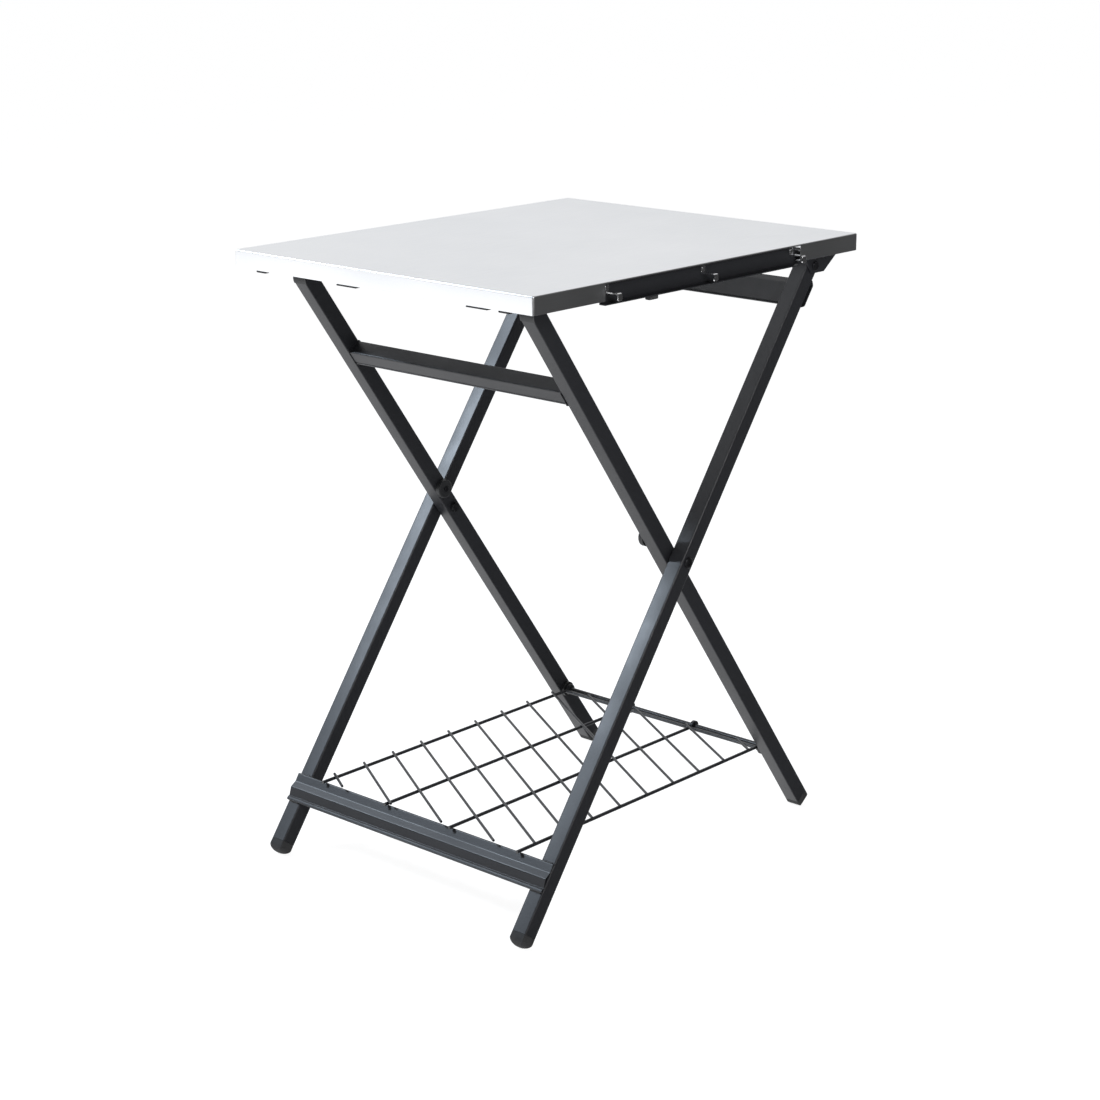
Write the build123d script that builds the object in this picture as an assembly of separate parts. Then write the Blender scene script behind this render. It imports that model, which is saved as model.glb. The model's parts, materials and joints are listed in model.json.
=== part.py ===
from build123d import *
import os
from math import atan2, ceil, cos, degrees, radians, sin, tan

# Folding side table. Z is up, Y runs from the front edge of the top to its back edge,
# X runs across it. The origin is on the floor, in the middle of the whole table.

# ---- overall sizes (mm) ----
table_height = 900.0
top_length = 700.0  # along Y
top_width = 560.0  # along X, without the tool hooks
hook_reach = 15.0  # the hooks stand out this far past the right-hand skirt
pivot_height = 473.5  # the two leg frames cross here
shelf_height = 112.0  # centre of the long shelf wires
hinge_inset = 72.1  # from the back edge of the top to the hinge axis
leg_inset = 38.0  # from the side of the top to the centre of an outer leg
leg_gap = 2.5  # between an outer and an inner leg

# ---- steel tubes, sheets and wires ----
leg_width = 25.0  # of the leg tube, along X
leg_depth = 25.0
leg_wall = 1.5
leg_corner = 2.5
top_sheet = 1.2
skirt_depth = 25.0
skirt_lip = 8.0
top_corner = 3.0
rail_sheet = 1.5
bracket_sheet = 2.5
long_wire = 5.0  # diameter
cross_wire = 4.0

# ---- fits ----
running_clearance = 0.1  # radial, where a pin turns
side_gap = 0.2  # beside a washer or nut that something turns against
fork_gap = 1.0  # each side of a leg between the ears of its hinge bracket
rest_gap = 0.5  # where the shelf rests on the front rail
swing_gap = 1.5  # between the rounded top of a leg and the bumpers it folds past
rod_gap = 0.3  # round the latch rod in its catches

# ---- places worked out from the sizes above ----
bumper_height = 3.0
hinge_height = table_height - skirt_depth - bumper_height - swing_gap - leg_depth / 2
hinge_y = top_length / 2 - hinge_inset
leg_angle = degrees(atan2(hinge_height - pivot_height, hinge_y))  # of each leg, from the floor
lean = 90.0 - leg_angle
arm = (hinge_height - pivot_height) / sin(radians(leg_angle))  # from the pivot up to the hinge axis
floor_reach = pivot_height / sin(radians(leg_angle))  # from the pivot down a leg to the floor
outer_leg_x = top_width / 2 - leg_inset
inner_leg_x = outer_leg_x - leg_width - leg_gap
inner_face = inner_leg_x - leg_width / 2
outer_face = outer_leg_x + leg_width / 2
skirt_bottom = table_height - skirt_depth
sheet_under = table_height - top_sheet
shelf_axis_y = (pivot_height - shelf_height) / tan(radians(leg_angle))
shelf_axis_down = floor_reach - shelf_height / sin(radians(leg_angle))


def put(name, shape):
    """Centre the whole table, hooks included, on the origin and write one node."""
    export_step(Pos(-hook_reach / 2, 0, 0) * shape, f"parts/{name}.step")


def on_outer(shape):
    """From the frame's own upright place, pivot at the origin, to the leaning outer frame."""
    return Pos(0, 0, pivot_height) * Rot(-lean, 0, 0) * shape


def on_inner(shape):
    """From the frame's own upright place to the inner frame, which leans the other way."""
    return Pos(0, 0, pivot_height) * Rot(lean, 0, 0) * shape


def left_of(shape):
    return mirror(shape, about=Plane.YZ)


def rod_x(radius, x_from, x_to, y=0.0, z=0.0):
    """A round bar along X."""
    middle = (x_from + x_to) / 2
    return Pos(middle, y, z) * Rot(0, 90, 0) * Cylinder(radius, abs(x_to - x_from))


def block(x_from, x_to, y_from, y_to, z_from, z_to):
    centre = Pos((x_from + x_to) / 2, (y_from + y_to) / 2, (z_from + z_to) / 2)
    return centre * Box(x_to - x_from, y_to - y_from, z_to - z_from)


def along_x(face, x_from, x_to):
    """Extrude a face drawn as (Y, Z) from one X to another."""
    return extrude(Plane.YZ.offset(x_from) * face, amount=x_to - x_from)


def bent_strip(points, radii, thickness):
    """The section of a bent sheet: one side follows the points, the other is to its left."""
    path = FilletPolyline(*points, radius=radii)
    return make_face(path.offset_2d(thickness, kind=Kind.INTERSECTION, side=Side.LEFT).edges())


# ---- the leg frames ----
plug_length = 18.0
plug_clearance = 0.1
foot_base = 6.0  # plain rubber between the tube and the rounded end
foot_plug_length = 24.0
foot_side_radius = 11.0
foot_radius = leg_depth / 2
foot_centre = -floor_reach + foot_radius / sin(radians(leg_angle))
tube_end = foot_centre + foot_base
pivot_radius = 4.0
pivot_head_radius = 8.0
pivot_head_height = 3.0
nut_radius = 7.5
nut_height = 6.0
washer_radius = 10.0
pin_radius = 4.0
pin_head_radius = 7.0
pin_head_height = 2.5
clip_height = 1.5


def tube_section(inside=False):
    if inside:
        width = leg_width - 2 * leg_wall
        depth = leg_depth - 2 * leg_wall
        return RectangleRounded(width, depth, leg_corner - leg_wall)
    return RectangleRounded(leg_width, leg_depth, leg_corner)


def leg_tube(centre_x, end_bore):
    """A square tube with rounded cheeks at its top and a bore for the pivot."""
    tube = extrude(Pos(0, 0, tube_end) * (tube_section() - tube_section(inside=True)), arm - tube_end)
    cheek = rod_x(leg_depth / 2, leg_width / 2 - leg_wall, leg_width / 2, 0, arm)
    cheek -= block(0, leg_width, -leg_depth, leg_depth, 0, arm)
    tube = tube + cheek + left_of(cheek)
    if end_bore:
        tube -= rod_x(end_bore, -leg_width, leg_width, 0, arm)
    return Pos(centre_x, 0, 0) * tube


def plug_shank(low, high):
    """What fills the bore of a leg tube, with a little clearance."""
    half = leg_width / 2 - leg_wall - plug_clearance
    depth = leg_depth / 2 - leg_wall - plug_clearance
    shank = block(-half, half, -depth, depth, low, high)
    return fillet(shank.edges().filter_by(Axis.Z), leg_corner - leg_wall)


def end_plug(centre_x, end_bore):
    """A plastic plug that closes the rounded top of a leg between its cheeks."""
    half = leg_width / 2 - leg_wall - plug_clearance
    plug = rod_x(leg_depth / 2, -half, half, 0, arm)
    plug -= block(-leg_width, leg_width, -leg_depth, leg_depth, 0, arm)
    plug += plug_shank(arm - plug_length, arm)
    if end_bore:
        plug -= rod_x(end_bore, -leg_width, leg_width, 0, arm)
    return Pos(centre_x, 0, 0) * plug


def foot(centre_x):
    """A rubber foot plugged into the end of a leg, flush with it and rounded both ways below."""
    half = leg_width / 2
    lowest = foot_centre - foot_radius
    side = block(-half, half, -foot_radius, foot_radius, foot_centre, tube_end)
    side += rod_x(foot_radius, -half, half, 0, foot_centre)
    length = tube_end - lowest
    tall = length + 2 * foot_side_radius
    front = Pos(0, lowest + tall / 2) * RectangleRounded(leg_width, tall, foot_side_radius)
    cap = side & extrude(Plane.XZ * front, foot_radius, both=True)
    cap &= extrude(Pos(0, 0, lowest) * tube_section(), length)
    return Pos(centre_x, 0, 0) * (cap + plug_shank(tube_end, tube_end + foot_plug_length))


def outer_leg():
    leg = leg_tube(outer_leg_x, pin_radius + running_clearance)
    return leg - rod_x(pivot_radius, inner_face, outer_face + 1)


def inner_leg():
    leg = leg_tube(inner_leg_x, 0)
    leg -= rod_x(pivot_radius + running_clearance, inner_face - 1, outer_face)
    return leg - stop_screw()


# Front rail of the outer frame: a rolled section across the front faces of the legs,
# whose upper edge carries the front of the shelf.
rail_stand = 4.2  # the upper edge stands this far in front of the legs
rail_out = leg_depth / 2 + rail_stand
rail_bend = 2.0
rail_edge_z = shelf_height - long_wire / 2 - rest_gap
rail_bend_out = rail_out - rail_bend
rail_bend_z = rail_edge_z - rail_bend
rail_bend_up = (rail_bend_z - pivot_height - rail_bend_out * sin(radians(lean))) / cos(radians(lean))
rail_edge_y = rail_bend_up * sin(radians(lean)) - rail_bend_out * cos(radians(lean))
rail_nose_stand = 7.5
rail_nose = leg_depth / 2 + rail_nose_stand


def front_rail():
    top = rail_bend_up + rail_bend
    bulge = top - 23.5
    waist = bulge - 12.5
    points = [
        (-leg_depth / 2, top),
        (-rail_out, top),
        (-rail_out + 0.8, top - 13.4),
        (-rail_nose, bulge),
        (-rail_nose + 4.5, waist),
        (-rail_nose + 2.5, waist - 2.5),
        (-rail_nose + 2.5, waist - 7.0),
        (-leg_depth / 2, waist - 7.0),
    ]
    section = bent_strip(points, [rail_bend, 4.0, 3.0, 1.0, 1.6, 1.6], rail_sheet)
    return along_x(section, -outer_face, outer_face)


# Back bar of the outer frame: a shallow channel across the back faces of the legs.
back_bar_below = 17.5  # from the hinge axis, down the leg, to its upper edge
back_bar_height = 44.0
back_bar_depth = 6.5
back_bar_slope = 5.0


def leg_zone():
    """All that an outer leg takes up, so that a bar welded to it can be cut to fit."""
    return block(outer_face - leg_width, outer_face, -leg_depth / 2, leg_depth / 2, -floor_reach, arm)


def back_bar():
    back = leg_depth / 2
    high = arm - back_bar_below
    low = high - back_bar_height
    points = [
        (back, low),
        (back + back_bar_depth, low + back_bar_slope),
        (back + back_bar_depth, high - back_bar_slope),
        (back, high),
    ]
    bar = along_x(bent_strip(points, 4.0, rail_sheet), -outer_face, outer_face)
    return bar - leg_zone() - left_of(leg_zone())


# Crossbar of the inner frame, between the legs below the front of the top.
crossbar_below = 132.0  # from the top of the leg, down to its upper edge
crossbar_corner = 3.0
groove_width = 2.4  # a rolled groove along the front face
groove_depth = 0.8
groove_up = 4.0  # from the lower edge


def crossbar():
    """The leg tube laid across, with rounder corners."""
    outline = RectangleRounded(leg_depth, leg_width, crossbar_corner)
    inside_depth = leg_depth - 2 * leg_wall
    inside_height = leg_width - 2 * leg_wall
    hole = RectangleRounded(inside_depth, inside_height, crossbar_corner - leg_wall)
    middle = arm - crossbar_below - leg_width / 2
    bar = along_x(Pos(0, middle) * (outline - hole), -inner_face, inner_face)
    front = -leg_depth / 2
    low = middle - leg_width / 2 + groove_up
    return bar - block(-inner_face, inner_face, front - 1, front + groove_depth, low, low + groove_width)


latch_rod_radius = 4.0
latch_rod_up = 6.5  # past the middle of the leg's rounded end
shelf_rod_radius = 4.0
bush_radius = 12.0
bush_length = 5.0
stop_radius = 14.0
stop_length = 8.5
stop_above_pivot = 41.0
stop_screw_radius = 2.0
stop_screw_head = 4.5
stop_screw_head_height = 2.0


def latch_rod():
    return rod_x(latch_rod_radius, -inner_face, inner_face, 0, arm + latch_rod_up)


def shelf_rod():
    return rod_x(shelf_rod_radius, -inner_face, inner_face, 0, -shelf_axis_down)


def shelf_bush():
    bush = rod_x(bush_radius, inner_face - bush_length, inner_face, 0, -shelf_axis_down)
    return bush - rod_x(shelf_rod_radius, inner_face - 2 * bush_length, inner_face, 0, -shelf_axis_down)


def stop_screw():
    head_at = inner_face - stop_length
    screw = rod_x(stop_screw_radius, head_at, inner_face + leg_wall + 3, 0, stop_above_pivot)
    head = rod_x(stop_screw_head, head_at - stop_screw_head_height, head_at, 0, stop_above_pivot)
    return screw + fillet(head.edges().filter_by(GeomType.CIRCLE).sort_by(Axis.X)[0], 1.2)


def shelf_stop():
    button = rod_x(stop_radius, inner_face - stop_length, inner_face, 0, stop_above_pivot)
    rim = button.edges().filter_by(GeomType.CIRCLE).sort_by(Axis.X)[0]
    return fillet(rim, 2.5) - stop_screw()


# ---- pivot: bolt, spacing washer and cap nut on each side ----
def pivot_bolt():
    nut_end = inner_face - side_gap - nut_height + 2
    head = rod_x(pivot_head_radius, outer_face, outer_face + pivot_head_height)
    rim = head.edges().filter_by(GeomType.CIRCLE).sort_by(Axis.X)[-1]
    return fillet(rim, pivot_head_height - 0.6) + rod_x(pivot_radius, nut_end, outer_face)


def pivot_washer():
    near = outer_face - leg_width
    ring = rod_x(washer_radius, near - leg_gap + side_gap, near)
    return ring - rod_x(pivot_radius, inner_face, outer_face)


def pivot_nut():
    far = inner_face - side_gap
    hexagon = Plane.YZ.offset(far - nut_height) * RegularPolygon(nut_radius, 6)
    return extrude(hexagon, nut_height) - pivot_bolt()


# ---- the top ----
notch_end = 138.0  # from each end of the top to the opening in the right-hand skirt
notch_half = top_length / 2 - notch_end
notch_top_gap = 2.5
rail_set_back = 10.0  # from the skirt's face to the rail behind the opening
tool_rail_below = 6.0  # the rail reaches this far below the skirt
tool_rail_end_gap = 1.0


def tabletop():
    half_x = top_width / 2
    half_y = top_length / 2
    body = block(-half_x, half_x, -half_y, half_y, skirt_bottom, table_height)
    body = fillet(body.edges().filter_by(Axis.Z), top_corner)
    body = fillet(body.faces().sort_by(Axis.Z)[-1].edges(), top_corner - 0.6)
    in_x = half_x - top_sheet
    in_y = half_y - top_sheet
    body -= block(-in_x, in_x, -in_y, in_y, skirt_bottom + top_sheet, sheet_under)
    lip_x = in_x - skirt_lip
    lip_y = in_y - skirt_lip
    body -= block(-lip_x, lip_x, -lip_y, lip_y, skirt_bottom - 1, skirt_bottom + 2 * top_sheet)
    notch_top = table_height - notch_top_gap
    return body - block(lip_x, half_x + 1, -notch_half, notch_half, skirt_bottom - 1, notch_top)


def tool_rail():
    web = top_width / 2 - rail_set_back
    low = skirt_bottom - tool_rail_below
    edge = top_width / 2 - top_sheet
    half = notch_half - tool_rail_end_gap
    upper = block(web - rail_sheet, edge, -half, half, sheet_under - rail_sheet, sheet_under)
    back = block(web - rail_sheet, web, -half, half, low, sheet_under)
    lower = block(web - rail_sheet, edge, -half, half, low, low + rail_sheet)
    return upper + back + lower


# Tool hooks: bent strips riveted to the rail.
hook_end_gap = 12.0  # from the end of the opening to the middle of a hook
hook_spacing = notch_half - hook_end_gap
hook_width = 8.5
hook_sheet = 2.0
hook_rivet_radius = 2.0
hook_rivet_head = 3.4
hook_rivet_height = 1.0
hook_root_top = table_height - 4.5
hook_rivet_z = hook_root_top - 4.5
hook_run_drop = 11.5  # from the top of the root to the underside of the level part
hook_tip_drop = 8.0  # the tip turns down this far


def tool_hook():
    root = top_width / 2 - rail_set_back
    tip = top_width / 2 + hook_reach - hook_sheet
    run = hook_root_top - hook_run_drop
    points = [(root, hook_root_top), (root, run), (tip, run), (tip, run - hook_tip_drop)]
    section = bent_strip(points, [3.0, 1.5], hook_sheet)
    strip = extrude(Plane.XZ * section, hook_width / 2, both=True)
    strip = fillet(strip.faces().sort_by(Axis.Z)[0].edges().filter_by(Axis.X), 2.5)
    return strip - rod_x(hook_rivet_radius, root - 5, root + 5, 0, hook_rivet_z)


def hook_rivet():
    root = top_width / 2 - rail_set_back
    shank = rod_x(hook_rivet_radius, root - rail_sheet, root + hook_sheet, 0, hook_rivet_z)
    head_at = root + hook_sheet
    head = rod_x(hook_rivet_head, head_at, head_at + hook_rivet_height, 0, hook_rivet_z)
    tail = rod_x(hook_rivet_head, root - rail_sheet - hook_rivet_height, root - rail_sheet, 0, hook_rivet_z)
    return shank + head + tail


# Stiffeners: hat sections welded across the underside of the sheet.
stiffener_depth = 14.8
stiffener_half = 20.0
stiffener_flange = 14.0
stiffener_slope = 4.0
stiffener_under = sheet_under - stiffener_depth
stiffener_end_gap = 2.0


def stiffener(centre_y):
    outer = stiffener_half + stiffener_slope
    points = [
        (centre_y - outer - stiffener_flange, sheet_under - top_sheet),
        (centre_y - outer, sheet_under - top_sheet),
        (centre_y - stiffener_half, stiffener_under),
        (centre_y + stiffener_half, stiffener_under),
        (centre_y + outer, sheet_under - top_sheet),
        (centre_y + outer + stiffener_flange, sheet_under - top_sheet),
    ]
    half = top_width / 2 - top_sheet - skirt_lip - stiffener_end_gap
    return along_x(bent_strip(points, 2.0, top_sheet), -half, half)


# Hinge brackets: a base plate under the rear stiffener and two ears round the leg.
ear_below = 10.0  # from the pin's centre to the lower edge
ear_front = 22.0
ear_rear = 60.0
ear_foot_front = 8.0
ear_foot_rear = 22.0


def hinge_bracket():
    ear_in = outer_leg_x - leg_width / 2 - fork_gap
    ear_out = outer_face + fork_gap
    low = hinge_height - ear_below
    outline = Polyline(
        (hinge_y - ear_foot_front, low),
        (hinge_y + ear_foot_rear, low),
        (hinge_y + ear_rear, skirt_bottom + 1),
        (hinge_y + ear_rear, stiffener_under),
        (hinge_y - ear_front, stiffener_under),
        (hinge_y - ear_front, skirt_bottom - 6),
        close=True,
    )
    ear_face = make_face(outline)
    ear_face = fillet(ear_face.vertices().sort_by(Axis.Y)[2:4], 5.0)
    ears = along_x(ear_face, ear_in - bracket_sheet, ear_in)
    ears += along_x(ear_face, ear_out, ear_out + bracket_sheet)
    front = hinge_y - ear_front
    rear = hinge_y + ear_rear
    base_under = stiffener_under - bracket_sheet
    base = block(ear_in, ear_out, front, rear, base_under, stiffener_under)
    return ears + base - hinge_pin()


def hinge_pin():
    inside = outer_leg_x - leg_width / 2 - fork_gap - bracket_sheet
    outside = outer_face + fork_gap + bracket_sheet
    pin = rod_x(pin_radius, inside - clip_height, outside, hinge_y, hinge_height)
    head = rod_x(pin_head_radius, outside, outside + pin_head_height, hinge_y, hinge_height)
    rim = head.edges().filter_by(GeomType.CIRCLE).sort_by(Axis.X)[-1]
    clip = rod_x(pin_head_radius, inside - clip_height, inside, hinge_y, hinge_height)
    return pin + fillet(rim, 1.5) + clip


# Front catches: one bent strip each, open to the front, that grips the latch rod.
catch_from_leg = 79.0
catch_x = inner_face - catch_from_leg
catch_width = 38.0
catch_sheet = 2.0
catch_jaw = 6.0  # the jaws reach this far in front of the rod's centre
catch_back = 5.0
catch_base = 17.0  # the base reaches this far behind the tops of the inner legs
catch_rivet_y = 5.0 - hinge_y


def front_catch():
    rod_y = -hinge_y - latch_rod_up * sin(radians(lean))
    rod_z = hinge_height + latch_rod_up * cos(radians(lean))
    low = rod_z - latch_rod_radius - rod_gap - catch_sheet
    high = rod_z + latch_rod_radius + rod_gap + catch_sheet
    points = [
        (rod_y - catch_jaw, low),
        (rod_y + catch_back + catch_sheet, low),
        (rod_y + catch_back + catch_sheet, high),
        (rod_y - catch_jaw, high),
        (rod_y - catch_jaw, stiffener_under - catch_sheet),
        (catch_base - hinge_y, stiffener_under - catch_sheet),
    ]
    section = bent_strip(points, [2.6, 2.6, 0.6, 2.6], catch_sheet)
    return along_x(section, catch_x - catch_width / 2, catch_x + catch_width / 2)


rivet_radius = 2.5
rivet_head_radius = 4.5
rivet_head_height = 1.5


def base_rivet(x, y, under, plate):
    """A rivet up through a plate and the stiffener above it, with its head underneath."""
    top = under + plate + top_sheet
    shank = Pos(x, y, (under + top) / 2) * Cylinder(rivet_radius, top - under)
    head = Pos(x, y, under - rivet_head_height / 2) * Cylinder(rivet_head_radius, rivet_head_height)
    tail = Pos(x, y, top + rivet_head_height / 2) * Cylinder(rivet_head_radius, rivet_head_height)
    return shank + head + tail


def bracket_rivets():
    """Two each side, in front of and behind the leg's rounded end."""
    under = stiffener_under - bracket_sheet
    spread = stiffener_half - 2 * rivet_radius - 2
    pair = [base_rivet(outer_leg_x, hinge_y + step * spread, under, bracket_sheet) for step in (-1, 1)]
    return pair + [left_of(rivet) for rivet in pair]


def catch_rivets():
    under = stiffener_under - catch_sheet
    spread = catch_width / 4
    pair = [base_rivet(catch_x + step * spread, catch_rivet_y, under, catch_sheet) for step in (-1, 1)]
    return pair + [left_of(rivet) for rivet in pair]


# Rubber bumpers under the lip of the skirt and under the tool rail.
bumper_inset = 52.0  # from the side of the top
bumper_x = top_width / 2 - bumper_inset
bumper_length = 18.0
side_bumper_y = -112.0
side_bumper_height = 5.0


def lip_bumpers():
    rear = top_length / 2 - top_sheet
    pads = []
    for side in (-1, 1):
        for end in (-1, 1):
            x = side * bumper_x
            near, far = sorted((end * rear, end * (rear - skirt_lip)))
            low = skirt_bottom - bumper_height
            pad = block(x - bumper_length / 2, x + bumper_length / 2, near, far, low, skirt_bottom)
            pads.append(fillet(pad.faces().sort_by(Axis.Z)[0].edges(), 1.2))
    return pads


def side_bumpers():
    edge = top_width / 2 - top_sheet
    half = bumper_length / 2
    rail_low_z = skirt_bottom - tool_rail_below
    pads = []
    for near, far, top in (
        (edge - skirt_lip, edge, rail_low_z),
        (-edge, -edge + skirt_lip, skirt_bottom),
    ):
        pad = block(near, far, side_bumper_y - half, side_bumper_y + half, top - side_bumper_height, top)
        pads.append(fillet(pad.faces().sort_by(Axis.Z)[0].edges(), 1.5))
    return pads


# ---- the wire shelf ----
eye_side_gap = 0.5
shelf_half = inner_face - bush_length - eye_side_gap - long_wire / 2  # centre of the outer long wires
long_wires = 4
shelf_overhang = 8.0  # in front of the top of the rail
shelf_front = rail_edge_y - shelf_overhang
rear_wire_gap = 11.5  # from the shelf rod to the wire across the back
rear_wire_y = shelf_axis_y - rear_wire_gap
eye_wall = 4.4
eye_width = long_wire - 0.6  # the wire is pressed a little flatter round the eye
eye_in = shelf_rod_radius + 4 * running_clearance
eye_out = eye_in + eye_wall
cross_front = shelf_front + 1.0
cross_rear = shelf_axis_y - eye_out - cross_wire / 2
cross_slope = 0.6  # the slanting wires run this much back for each step to the left
cross_pitch = 60.6
cross_first = shelf_front - 91.0  # where the first slanting wire would meet the middle line
cross_overhang = 2.5
weld_sink = 0.3


def shelf_frame():
    """Four long wires, an eye at the back of each round the rod, and the wire across the back."""
    grid = rod_x(long_wire / 2, -shelf_half, shelf_half, rear_wire_y, shelf_height)
    for index in range(long_wires):
        x = -shelf_half + 2 * shelf_half * index / (long_wires - 1)
        rear = shelf_axis_y - eye_in - eye_wall / 2
        length = rear - shelf_front
        place = Pos(x, shelf_front + length / 2, shelf_height) * Rot(90, 0, 0)
        wire = place * Cylinder(long_wire / 2, length)
        ring = rod_x(eye_out, x - eye_width / 2, x + eye_width / 2, shelf_axis_y, shelf_height)
        ring -= rod_x(eye_in, x - long_wire, x + long_wire, shelf_axis_y, shelf_height)
        grid = grid + wire + ring
    return grid


def shelf_cross_wires():
    """Slanting wires laid on the long wires and welded where they cross."""
    height = shelf_height + (long_wire + cross_wire) / 2 - weld_sink
    reach = shelf_half + long_wire / 2 + cross_overhang
    reach_by_bush = inner_face - bush_length - cross_wire
    bush_front = shelf_axis_y - bush_radius - cross_wire
    wires = []
    for index in range(ceil((cross_rear + cross_slope * reach - cross_first) / cross_pitch)):
        middle = cross_first + cross_pitch * index
        front = max(middle - cross_slope * reach, cross_front)
        left_end = middle + cross_slope * reach
        if left_end > bush_front:
            left_end = middle + cross_slope * reach_by_bush
        rear = min(left_end, cross_rear)
        right = ((middle - front) / cross_slope, front, height)
        left = ((middle - rear) / cross_slope, rear, height)
        line = Line(right, left)
        wires.append(sweep(Plane(line @ 0, z_dir=line % 0) * Circle(cross_wire / 2), path=line))
    return wires


# ---- write every node ----
os.makedirs("parts", exist_ok=True)

put("tabletop", tabletop())
put("tool_rail", tool_rail() - [Pos(0, y, 0) * hook_rivet() for y in (-hook_spacing, 0, hook_spacing)])
for name, y in (("front", -hook_spacing), ("middle", 0.0), ("rear", hook_spacing)):
    put(f"tool_hook_{name}", Pos(0, y, 0) * tool_hook())
put("hook_rivets", Compound([Pos(0, y, 0) * hook_rivet() for y in (-hook_spacing, 0, hook_spacing)]))
put("front_stiffener", stiffener(-hinge_y) - catch_rivets())
put("rear_stiffener", stiffener(hinge_y) - bracket_rivets())
put("bracket_rivets", Compound(bracket_rivets()))
put("catch_rivets", Compound(catch_rivets()))
put("lip_bumpers", Compound(lip_bumpers()))
put("side_bumpers", Compound(side_bumpers()))

bored_bracket = hinge_bracket() - bracket_rivets()
bored_catch = front_catch() - catch_rivets()
pin_bore = pin_radius + running_clearance
pairs = {
    "hinge_bracket": bored_bracket,
    "hinge_pin": hinge_pin(),
    "front_catch": bored_catch,
    "outer_leg": on_outer(outer_leg()),
    "outer_end_plug": on_outer(end_plug(outer_leg_x, pin_bore)),
    "outer_foot": on_outer(foot(outer_leg_x)),
    "pivot_bolt": on_outer(pivot_bolt()),
    "pivot_washer": on_outer(pivot_washer()),
    "pivot_nut": on_outer(pivot_nut()),
    "inner_leg": on_inner(inner_leg()),
    "inner_end_plug": on_inner(end_plug(inner_leg_x, 0)),
    "inner_foot": on_inner(foot(inner_leg_x)),
    "shelf_bush": on_inner(shelf_bush()),
    "shelf_stop": on_inner(shelf_stop()),
    "stop_screw": on_inner(stop_screw()),
}
for name, shape in pairs.items():
    put(f"{name}_right", shape)
    put(f"{name}_left", left_of(shape))

put("outer_front_rail", on_outer(front_rail()))
put("outer_back_bar", on_outer(back_bar()))
put("inner_crossbar", on_inner(crossbar()))
put("latch_rod", on_inner(latch_rod()))
put("shelf_rod", on_inner(shelf_rod()))
put("shelf_frame", shelf_frame())
put("shelf_cross_wires", Compound(shelf_cross_wires()))
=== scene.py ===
import json
from math import atan2, cos, pi, radians, sin, sqrt

import bpy
from mathutils import Matrix, Vector


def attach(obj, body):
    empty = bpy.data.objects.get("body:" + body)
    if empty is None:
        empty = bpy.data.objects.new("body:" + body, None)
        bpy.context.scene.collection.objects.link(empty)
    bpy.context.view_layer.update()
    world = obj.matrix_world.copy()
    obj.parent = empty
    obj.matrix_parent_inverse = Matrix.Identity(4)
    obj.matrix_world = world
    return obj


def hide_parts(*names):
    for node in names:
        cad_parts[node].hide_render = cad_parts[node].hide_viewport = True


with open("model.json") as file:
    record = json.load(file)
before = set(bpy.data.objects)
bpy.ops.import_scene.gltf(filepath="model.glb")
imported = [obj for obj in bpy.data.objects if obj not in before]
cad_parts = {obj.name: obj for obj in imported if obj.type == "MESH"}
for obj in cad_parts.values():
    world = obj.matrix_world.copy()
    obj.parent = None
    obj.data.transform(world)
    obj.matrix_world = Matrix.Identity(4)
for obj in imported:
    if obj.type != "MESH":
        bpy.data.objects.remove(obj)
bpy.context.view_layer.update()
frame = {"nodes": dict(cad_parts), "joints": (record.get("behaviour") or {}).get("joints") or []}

# ---------------------------------------------------------------------------
# Leg tubes. Four square steel tubes, cut to length and bored for the pivots and
# hinges, then powder coated satin black. Each pair crosses at a bolt.
# ---------------------------------------------------------------------------


def new_material(name, base, metallic, roughness):
    """A material whose shader already holds the values that are the same all over."""
    material = bpy.data.materials.new(name)
    material.use_nodes = True
    shader = material.node_tree.nodes["Principled BSDF"]
    shader.inputs["Base Color"].default_value = (*base, 1.0)
    shader.inputs["Metallic"].default_value = metallic
    shader.inputs["Roughness"].default_value = roughness
    return material


def grain(material, scale, detail=3.0, stretch=(1.0, 1.0, 1.0), turn=(0.0, 0.0, 0.0)):
    """Noise on the piece's own coordinates, stretched along a direction for brushing or drawing marks."""
    nodes = material.node_tree.nodes
    links = material.node_tree.links
    place = nodes.new("ShaderNodeTexCoord")
    mapping = nodes.new("ShaderNodeMapping")
    mapping.inputs["Scale"].default_value = stretch
    mapping.inputs["Rotation"].default_value = turn
    noise = nodes.new("ShaderNodeTexNoise")
    noise.inputs["Scale"].default_value = scale
    noise.inputs["Detail"].default_value = detail
    noise.inputs["Roughness"].default_value = 0.6
    links.new(place.outputs["Object"], mapping.inputs["Vector"])
    links.new(mapping.outputs["Vector"], noise.inputs["Vector"])
    return noise.outputs["Fac"]


def spread(material, value, low, high, to_low, to_high):
    """Map a noise value onto the range that a finish varies over."""
    ranged = material.node_tree.nodes.new("ShaderNodeMapRange")
    ranged.inputs["From Min"].default_value = low
    ranged.inputs["From Max"].default_value = high
    ranged.inputs["To Min"].default_value = to_low
    ranged.inputs["To Max"].default_value = to_high
    material.node_tree.links.new(value, ranged.inputs["Value"])
    return ranged.outputs["Result"]


def tint(material, value, dark, light):
    """Colour that drifts between two tones."""
    ramp = material.node_tree.nodes.new("ShaderNodeValToRGB")
    ramp.color_ramp.elements[0].position = 0.32
    ramp.color_ramp.elements[0].color = (*dark, 1.0)
    ramp.color_ramp.elements[1].position = 0.68
    ramp.color_ramp.elements[1].color = (*light, 1.0)
    material.node_tree.links.new(value, ramp.inputs["Fac"])
    return ramp.outputs["Color"]


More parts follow.
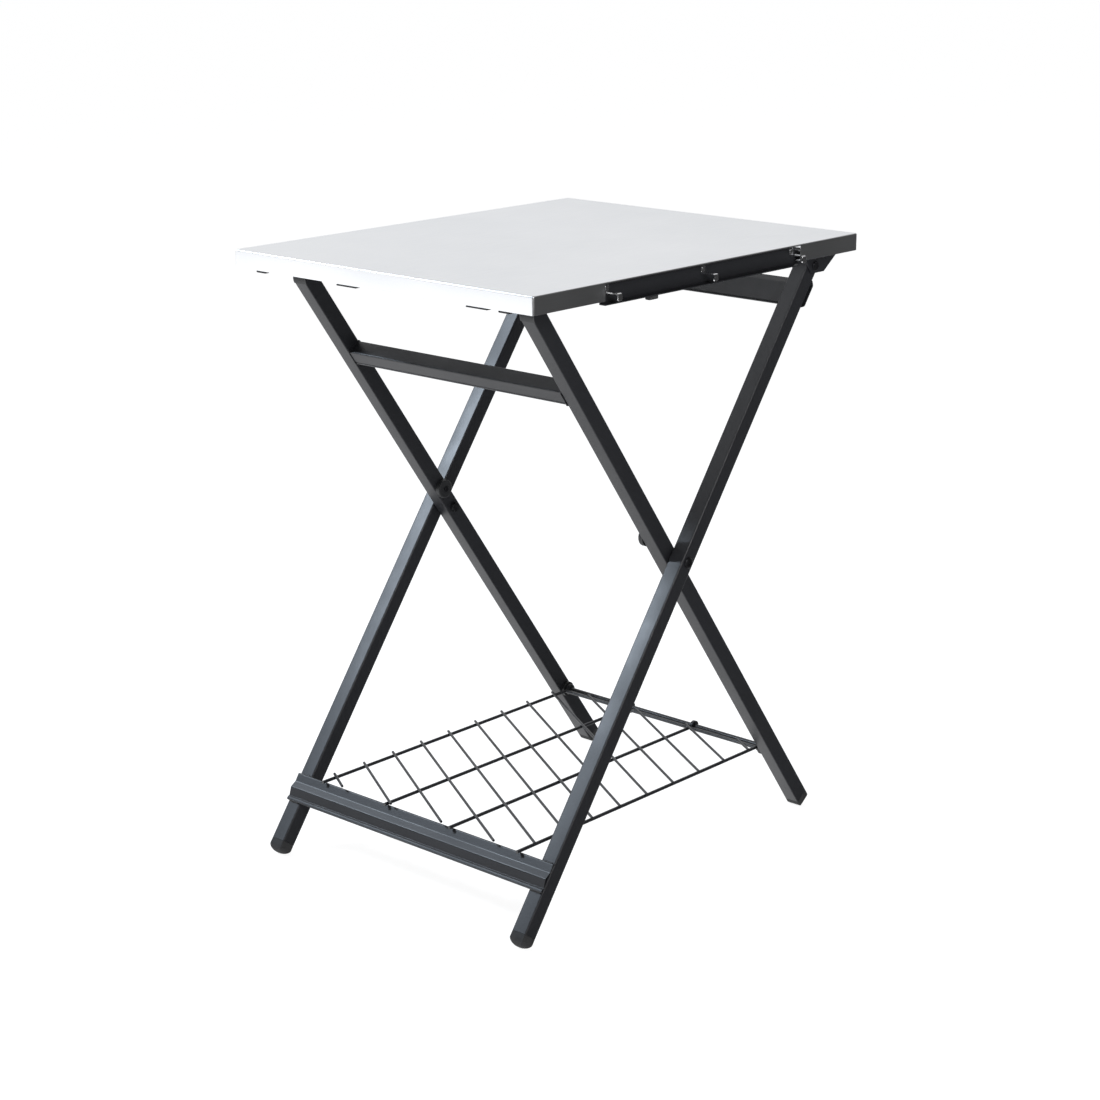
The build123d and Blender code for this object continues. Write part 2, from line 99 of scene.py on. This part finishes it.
def finish(material, colour=None, roughness=None, heights=()):
    """Join the drifting colour, the drifting roughness and the bumps to the shader."""
    nodes = material.node_tree.nodes
    links = material.node_tree.links
    shader = nodes["Principled BSDF"]
    if colour is not None:
        links.new(colour, shader.inputs["Base Color"])
    if roughness is not None:
        links.new(roughness, shader.inputs["Roughness"])
    below = None
    for height, distance, strength in heights:
        bump = nodes.new("ShaderNodeBump")
        bump.inputs["Distance"].default_value = distance
        bump.inputs["Strength"].default_value = strength
        links.new(height, bump.inputs["Height"])
        if below is not None:
            links.new(below, bump.inputs["Normal"])
        below = bump.outputs["Normal"]
    if below is not None:
        links.new(below, shader.inputs["Normal"])
    return material


black_coat = new_material("black_powder_coat", (0.017, 0.018, 0.021), 0.0, 0.4)
black_coat.node_tree.nodes["Principled BSDF"].inputs["Specular IOR Level"].default_value = 0.62
coat_cloud = grain(black_coat, 9.0)
coat_peel = grain(black_coat, 520.0, detail=2.0)
coat_grit = grain(black_coat, 2100.0, detail=1.0)
finish(
    black_coat,
    colour=tint(black_coat, coat_grit, (0.012, 0.0125, 0.015), (0.026, 0.0275, 0.032)),
    roughness=spread(black_coat, coat_cloud, 0.3, 0.7, 0.36, 0.46),
    heights=((coat_peel, 0.00022, 0.35), (coat_grit, 0.00006, 0.5)),
)


def deselect():
    if bpy.context.mode != "OBJECT":
        bpy.ops.object.mode_set(mode="OBJECT")
    bpy.ops.object.select_all(action="DESELECT")


def make_active(piece):
    deselect()
    piece.select_set(True)
    bpy.context.view_layer.objects.active = piece


def round_over(piece, width, segments=2, angle=30.0):
    """Round the piece's sharp edges and shade it so that flat faces stay flat."""
    make_active(piece)
    bevel = piece.modifiers.new("edges", "BEVEL")
    bevel.width = width
    bevel.segments = segments
    bevel.limit_method = "ANGLE"
    bevel.angle_limit = radians(angle)
    bevel.miter_outer = "MITER_ARC"
    bevel.harden_normals = True
    bpy.ops.object.shade_smooth()
    bpy.ops.object.modifier_apply(modifier=bevel.name)
    bpy.ops.object.shade_smooth_by_angle(angle=radians(angle + 8.0))


def softened(node, name, width, segments=2):
    """A part's shape with its triangles joined into whole faces and its edges rounded over."""
    piece = bpy.data.objects.new(name, frame["nodes"][node].data.copy())
    bpy.context.scene.collection.objects.link(piece)
    make_active(piece)
    bpy.ops.mesh.customdata_custom_splitnormals_clear()
    bpy.ops.object.mode_set(mode="EDIT")
    bpy.ops.mesh.select_all(action="SELECT")
    bpy.ops.mesh.remove_doubles(threshold=0.000002)
    bpy.ops.mesh.dissolve_limited(angle_limit=radians(0.8))
    bpy.ops.object.mode_set(mode="OBJECT")
    round_over(piece, width, segments)
    return piece


def fit(piece, body, slot, material, *stands_for):
    """Give a finished piece its material and body, and hide the parts it stands for; the slot argument is
    not used.
    """
    piece.data.materials.clear()
    piece.data.materials.append(material)
    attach(piece, body)
    if stands_for:
        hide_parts(*stands_for)


for side in ("left", "right"):
    for name, body in (("outer_leg", "outer_frame"), ("inner_leg", "inner_frame")):
        tube = softened(f"{name}_{side}", f"{name}_tube_{side}", 0.0004)
        fit(tube, body, "black_coat", black_coat, f"{name}_{side}")

# ---------------------------------------------------------------------------
# Bars of the two leg frames. The front rail and the back bar are rolled from sheet, the
# crossbar is a tube with a rolled groove, and the two rods are drawn. All are welded
# to the legs and coated with them.
# ---------------------------------------------------------------------------
for node, body in (
    ("outer_front_rail", "outer_frame"),
    ("outer_back_bar", "outer_frame"),
    ("inner_crossbar", "inner_frame"),
    ("latch_rod", "inner_frame"),
    ("shelf_rod", "inner_frame"),
):
    bar = softened(node, f"{node}_coated", 0.0004)
    fit(bar, body, "black_coat", black_coat, node)

# ---------------------------------------------------------------------------
# Weld beads. Weld metal runs round the ends of the crossbar and the latch rod, which
# butt against the inner legs, and along the edges of the back bar and the front rail
# where they cross the outer legs. It is coated with the frames.
# ---------------------------------------------------------------------------
joints = {joint["name"]: Vector(joint["pos_m"]) for joint in frame["joints"]}
pivot = joints["leg_fold"]
hinge = joints["top_fold"]
lean = atan2(hinge.y, hinge.z - pivot.z)
arm = sqrt(hinge.y ** 2 + (hinge.z - pivot.z) ** 2)
on_outer = Matrix.Translation(pivot) @ Matrix.Rotation(-lean, 4, "X")
on_inner = Matrix.Translation(pivot) @ Matrix.Rotation(lean, 4, "X")


def weld_bead(name, place, body, points, closed, radius=0.0011):
    """A rippled bead of weld metal laid along a line."""
    line = bpy.data.curves.new(name, "CURVE")
    line.dimensions = "3D"
    line.bevel_depth = radius
    line.bevel_resolution = 3
    line.use_fill_caps = not closed
    spline = line.splines.new("POLY")
    spline.points.add(len(points) - 1)
    for index, (point, at) in enumerate(zip(spline.points, points)):
        point.co = (*(place @ Vector(at)), 1.0)
        point.radius = 1.0 + 0.16 * sin(index * 2.1) + 0.07 * sin(index * 5.3)
    spline.use_cyclic_u = closed
    bead = bpy.data.objects.new(name, line)
    bpy.context.scene.collection.objects.link(bead)
    make_active(bead)
    bpy.ops.object.convert(target="MESH")
    bead = bpy.context.active_object
    bpy.ops.object.shade_smooth()
    fit(bead, body, "black_coat", black_coat)


def stepped(start, end, step=0.0009):
    """Points along a straight run, close enough together to carry the ripple."""
    count = round((Vector(end) - Vector(start)).length / step)
    return [Vector(start).lerp(Vector(end), index / count) for index in range(count)]


# Heights are from the pivots, up the leg.
half_tube = 0.0125
outer_leg_x = 0.242
inner_face = 0.202  # the side of an inner leg that the crossbar meets
bead_sink = 0.0004  # a bead's middle lies this far off the leg's side
bead_stand = 0.0003  # and this far off the faces of what it joins
crossbar_up = arm - 0.132 - half_tube
crossbar_corner = 0.0016
latch_rod_up = arm + 0.0065
latch_rod_ring = 0.0043
latch_rod_bead = 0.0008
steps_round_rod = 24
back_bar_upper = arm - 0.0172
back_bar_lower = arm - 0.0618
rail_upper = -0.4605
rail_lower = -0.5041
bead_margin = 0.003  # a straight bead stops this far short of the leg's sides

for side, name in ((-1, "left"), (1, "right")):
    x = side * (inner_face - bead_sink)
    low = crossbar_up - half_tube - bead_stand
    high = crossbar_up + half_tube + bead_stand
    deep = half_tube + bead_stand
    cut = crossbar_corner
    corners = [
        (x, -deep + cut, low),
        (x, deep - cut, low),
        (x, deep, low + cut),
        (x, deep, high - cut),
        (x, deep - cut, high),
        (x, -deep + cut, high),
        (x, -deep, high - cut),
        (x, -deep, low + cut),
    ]
    ring = []
    for start, end in zip(corners, corners[1:] + corners[:1]):
        ring += stepped(start, end)
    weld_bead(f"crossbar_weld_{name}", on_inner, "inner_frame", ring, True)

    ring = []
    for step in range(steps_round_rod):
        turn = 2 * pi * step / steps_round_rod
        ring.append((x, latch_rod_ring * cos(turn), latch_rod_up + latch_rod_ring * sin(turn)))
    weld_bead(f"latch_rod_weld_{name}", on_inner, "inner_frame", ring, True, latch_rod_bead)

    for bar, y, up in (
        ("back_bar_upper", deep, back_bar_upper),
        ("back_bar_lower", deep, back_bar_lower),
        ("rail_upper", -deep, rail_upper),
        ("rail_lower", -deep, rail_lower),
    ):
        start_x = side * outer_leg_x - half_tube + bead_margin
        end_x = side * outer_leg_x + half_tube - bead_margin
        run = stepped((start_x, y, up), (end_x, y, up))
        weld_bead(f"{bar}_weld_{name}", on_outer, "outer_frame", run, False)

# ---------------------------------------------------------------------------
# Plastic plugs, bushes, stops and washers. Moulded black nylon with the fine
# even grain of the mould.
# ---------------------------------------------------------------------------
black_plastic = new_material("black_moulded_plastic", (0.02, 0.021, 0.023), 0.0, 0.5)
plastic_cloud = grain(black_plastic, 30.0)
plastic_grain = grain(black_plastic, 3200.0, detail=1.0)
finish(
    black_plastic,
    colour=tint(black_plastic, plastic_cloud, (0.017, 0.018, 0.02), (0.026, 0.027, 0.029)),
    roughness=spread(black_plastic, plastic_cloud, 0.3, 0.7, 0.46, 0.58),
    heights=((plastic_grain, 0.00003, 0.6),),
)

for side in ("left", "right"):
    for node, body in (
        ("outer_end_plug", "outer_frame"),
        ("inner_end_plug", "inner_frame"),
        ("pivot_washer", "outer_frame"),
        ("shelf_bush", "inner_frame"),
        ("shelf_stop", "inner_frame"),
    ):
        moulding = softened(f"{node}_{side}", f"{node}_moulding_{side}", 0.0004)
        fit(moulding, body, "black_plastic", black_plastic, f"{node}_{side}")

# ---------------------------------------------------------------------------
# Rubber feet and bumpers. The feet are moulded plugs pushed into the tube ends; the
# bumpers are small pads pressed on under the skirts.
# ---------------------------------------------------------------------------
black_rubber = new_material("black_rubber", (0.03, 0.03, 0.032), 0.0, 0.72)
black_rubber.node_tree.nodes["Principled BSDF"].inputs["Specular IOR Level"].default_value = 0.35
rubber_cloud = grain(black_rubber, 60.0)
rubber_skin = grain(black_rubber, 1500.0, detail=2.0)
finish(
    black_rubber,
    colour=tint(black_rubber, rubber_cloud, (0.026, 0.026, 0.028), (0.046, 0.046, 0.047)),
    roughness=spread(black_rubber, rubber_cloud, 0.3, 0.7, 0.66, 0.82),
    heights=((rubber_skin, 0.00008, 0.5),),
)

for side in ("left", "right"):
    for name, body in (("outer_foot", "outer_frame"), ("inner_foot", "inner_frame")):
        cap = softened(f"{name}_{side}", f"{name}_cap_{side}", 0.0016, 4)
        fit(cap, body, "black_rubber", black_rubber, f"{name}_{side}")
for node in ("lip_bumpers", "side_bumpers"):
    pads = softened(node, f"{node}_pads", 0.0005)
    fit(pads, "table_top", "black_rubber", black_rubber, node)

# ---------------------------------------------------------------------------
# Fasteners. Black plated pivot bolts with their nuts, hinge pins and stop screws,
# and zinc plated rivets.
# ---------------------------------------------------------------------------
black_plating = new_material("black_plating", (0.03, 0.03, 0.033), 0.75, 0.34)
plating_cloud = grain(black_plating, 220.0)
finish(
    black_plating,
    colour=tint(black_plating, plating_cloud, (0.022, 0.022, 0.025), (0.045, 0.046, 0.05)),
    roughness=spread(black_plating, plating_cloud, 0.3, 0.7, 0.28, 0.42),
    heights=((plating_cloud, 0.00003, 0.4),),
)
zinc_plating = new_material("zinc_plating", (0.6, 0.61, 0.62), 1.0, 0.36)
zinc_cloud = grain(zinc_plating, 140.0)
finish(
    zinc_plating,
    colour=tint(zinc_plating, zinc_cloud, (0.5, 0.51, 0.52), (0.68, 0.69, 0.7)),
    roughness=spread(zinc_plating, zinc_cloud, 0.3, 0.7, 0.28, 0.46),
    heights=((zinc_cloud, 0.00003, 0.3),),
)

socket_radius = 0.0034  # from the middle to a corner of the hexagon
socket_depth = 0.002

for side in ("left", "right"):
    for node, body in (
        ("pivot_bolt", "outer_frame"),
        ("pivot_nut", "outer_frame"),
        ("hinge_pin", "table_top"),
        ("stop_screw", "inner_frame"),
    ):
        fastener = softened(f"{node}_{side}", f"{node}_plated_{side}", 0.0004)
        if node == "pivot_bolt":
            far = max(abs(vertex.co.x - pivot.x) for vertex in fastener.data.vertices)
            head_x = pivot.x + (far if side == "right" else -far)
            deselect()
            bpy.ops.mesh.primitive_cylinder_add(
                vertices=6,
                radius=socket_radius,
                depth=2 * socket_depth,
                location=(head_x, pivot.y, pivot.z),
                rotation=(0.0, pi / 2, 0.0),
            )
            key_shape = bpy.context.active_object
            make_active(fastener)
            socket = fastener.modifiers.new("socket", "BOOLEAN")
            socket.object = key_shape
            socket.operation = "DIFFERENCE"
            socket.solver = "EXACT"
            bpy.ops.object.modifier_apply(modifier=socket.name)
            bpy.ops.object.shade_smooth_by_angle(angle=radians(35.0))
            bpy.data.objects.remove(key_shape)
        fit(fastener, body, "black_fastener", black_plating, f"{node}_{side}")
for node in ("bracket_rivets", "catch_rivets"):
    rivets = softened(node, f"{node}_plated", 0.0006, 3)
    fit(rivets, "table_top", "zinc_steel", zinc_plating, node)

# ---------------------------------------------------------------------------
# Wire shelf. Four drawn wires run front to back, each bent into an eye round the
# rod, with slanting wires resistance welded on top, all coated black.
# ---------------------------------------------------------------------------
for node in ("shelf_frame", "shelf_cross_wires"):
    wires = softened(node, f"{node}_coated", 0.0008, 3)
    fit(wires, "wire_shelf", "black_coat", black_coat, node)

# ---------------------------------------------------------------------------
# Stiffeners, hinge brackets and catches under the top. Folded sheet: the
# stiffeners galvanised, the brackets coated black, the catches black plated.
# ---------------------------------------------------------------------------
for node in ("front_stiffener", "rear_stiffener"):
    channel = softened(node, f"{node}_channel", 0.0003)
    fit(channel, "table_top", "zinc_steel", zinc_plating, node)
for side in ("left", "right"):
    bracket = softened(f"hinge_bracket_{side}", f"hinge_bracket_fork_{side}", 0.0006)
    fit(bracket, "table_top", "black_coat", black_coat, f"hinge_bracket_{side}")
    catch = softened(f"front_catch_{side}", f"front_catch_strip_{side}", 0.0004)
    fit(catch, "table_top", "black_fastener", black_plating, f"front_catch_{side}")

# ---------------------------------------------------------------------------
# Tool rail and hooks. A black channel stands behind the opening in the right-hand
# skirt, and three bright bent strips are riveted to it.
# ---------------------------------------------------------------------------
rail = softened("tool_rail", "tool_rail_channel", 0.0004)
fit(rail, "table_top", "black_coat", black_coat, "tool_rail")

bright_steel = new_material("bright_steel", (0.82, 0.82, 0.83), 1.0, 0.2)
bright_marks = grain(bright_steel, 900.0, stretch=(0.06, 1.0, 1.0))
finish(
    bright_steel,
    colour=tint(bright_steel, bright_marks, (0.76, 0.76, 0.77), (0.87, 0.87, 0.88)),
    roughness=spread(bright_steel, bright_marks, 0.3, 0.7, 0.14, 0.28),
    heights=((bright_marks, 0.00002, 0.4),),
)
for place in ("front", "middle", "rear"):
    hook = softened(f"tool_hook_{place}", f"tool_hook_strip_{place}", 0.0005, 3)
    fit(hook, "table_top", "bright_steel", bright_steel, f"tool_hook_{place}")
rivets = softened("hook_rivets", "hook_rivets_bright", 0.0005, 3)
fit(rivets, "table_top", "bright_steel", bright_steel, "hook_rivets")

# ---------------------------------------------------------------------------
# The top. One sheet of satin stainless steel, pressed to a shallow tray with
# rounded edges, its skirts returned inwards at the bottom in a narrow lip.
# ---------------------------------------------------------------------------
satin_steel = new_material("satin_stainless", (0.8, 0.81, 0.82), 1.0, 0.34)
satin_brush = grain(satin_steel, 1500.0, detail=4.0, stretch=(1.0, 0.012, 1.0))
satin_cloud = grain(satin_steel, 5.0, detail=2.0)
satin_wave = grain(satin_steel, 3.0, detail=0.0)
finish(
    satin_steel,
    colour=tint(satin_steel, satin_brush, (0.79, 0.8, 0.812), (0.85, 0.858, 0.87)),
    roughness=spread(satin_steel, satin_cloud, 0.3, 0.7, 0.32, 0.4),
    heights=((satin_wave, 0.0008, 0.12), (satin_brush, 0.00001, 0.25)),
)
top = softened("tabletop", "tabletop_sheet", 0.0003)
fit(top, "table_top", "satin_steel", satin_steel, "tabletop")

# ---------------------------------------------------------------------------
# Floor, light and camera. A plain pale floor, a soft key light from the front left
# and a thin strip from the right that catches the edges of the tubes.
# ---------------------------------------------------------------------------
deselect()
floor_size = 90.0
bpy.ops.mesh.primitive_plane_add(size=floor_size, location=(0.0, 0.0, 0.0))
floor = bpy.context.active_object
floor.name = "studio_floor"
floor_paint = new_material("pale_floor", (0.4, 0.4, 0.4), 0.0, 0.9)
floor_shader = floor_paint.node_tree.nodes["Principled BSDF"]
floor_shader.inputs["Specular IOR Level"].default_value = 0.0
floor_shader.inputs["Emission Color"].default_value = (1.0, 1.0, 1.0, 1.0)
floor_shader.inputs["Emission Strength"].default_value = 0.88
floor.data.materials.append(floor_paint)
floor.visible_glossy = False


def soft_light(name, place, aim, width, height, power):
    """A rectangular softbox turned to face a point."""
    light = bpy.data.lights.new(name, "AREA")
    light.shape = "RECTANGLE"
    light.size = width
    light.size_y = height
    light.energy = power
    lamp = bpy.data.objects.new(name, light)
    bpy.context.scene.collection.objects.link(lamp)
    lamp.location = place
    lamp.rotation_euler = (Vector(aim) - Vector(place)).to_track_quat("-Z", "Y").to_euler()
    return lamp


table_middle = (0.0, 0.0, 0.5)
key = soft_light("key_softbox", (-2.45, -1.87, 2.8), table_middle, 0.8, 0.8, 92.0)
key.data.color = (0.76, 0.87, 1.0)
edge = soft_light("edge_strip", (2.7, -1.45, 2.3), table_middle, 0.25, 1.4, 40.0)

# The world seen in the metal: a white floor and backdrop to the left and behind,
# a dark room in front, black cards on the right.
world = bpy.data.worlds.new("studio")
bpy.context.scene.world = world
world.use_nodes = True
nodes = world.node_tree.nodes
links = world.node_tree.links
direction = nodes.new("ShaderNodeTexCoord")
axes = nodes.new("ShaderNodeSeparateXYZ")
links.new(direction.outputs["Generated"], axes.inputs["Vector"])


def blend(axis, low, high, at_low, at_high):
    """A brightness that changes smoothly along one axis of the direction looked in."""
    ranged = nodes.new("ShaderNodeMapRange")
    ranged.interpolation_type = "SMOOTHSTEP"
    ranged.inputs["From Min"].default_value = low
    ranged.inputs["From Max"].default_value = high
    ranged.inputs["To Min"].default_value = at_low
    ranged.inputs["To Max"].default_value = at_high
    links.new(axes.outputs[axis], ranged.inputs["Value"])
    return ranged.outputs["Result"]


cards = blend("X", -0.3, 0.35, 1.0, 0.05)
floor_glow = blend("Y", -0.75, 0.1, 1.75, 1.0)
room = blend("Y", -0.45, 0.3, 0.1, 0.93)
below = blend("Z", -0.12, 0.04, 1.0, 0.0)
above_or_below = nodes.new("ShaderNodeMix")
links.new(below, above_or_below.inputs["Factor"])
links.new(room, above_or_below.inputs["A"])
links.new(floor_glow, above_or_below.inputs["B"])
strength = nodes.new("ShaderNodeMath")
strength.operation = "MULTIPLY"
links.new(cards, strength.inputs[0])
links.new(above_or_below.outputs["Result"], strength.inputs[1])
links.new(strength.outputs["Value"], nodes["Background"].inputs["Strength"])
nodes["Background"].inputs["Color"].default_value = (0.985, 0.99, 1.0, 1.0)

bpy.context.scene.view_settings.view_transform = "Standard"

camera_turn = radians(41.77)
camera_tilt = radians(16.12)
camera_distance = 3.5517
camera_aim = Vector((pivot.x - 0.0027, -0.0024, 0.4433))
back = Vector((sin(camera_turn) * cos(camera_tilt), -cos(camera_turn) * cos(camera_tilt), sin(camera_tilt)))
camera_data = bpy.data.cameras.new("camera")
camera_data.lens = 79.0
camera_data.sensor_width = 36.0
camera = bpy.data.objects.new("camera", camera_data)
bpy.context.scene.collection.objects.link(camera)
camera.location = camera_aim + back * camera_distance
camera.rotation_euler = (-back).to_track_quat("-Z", "Y").to_euler()
bpy.context.scene.camera = camera
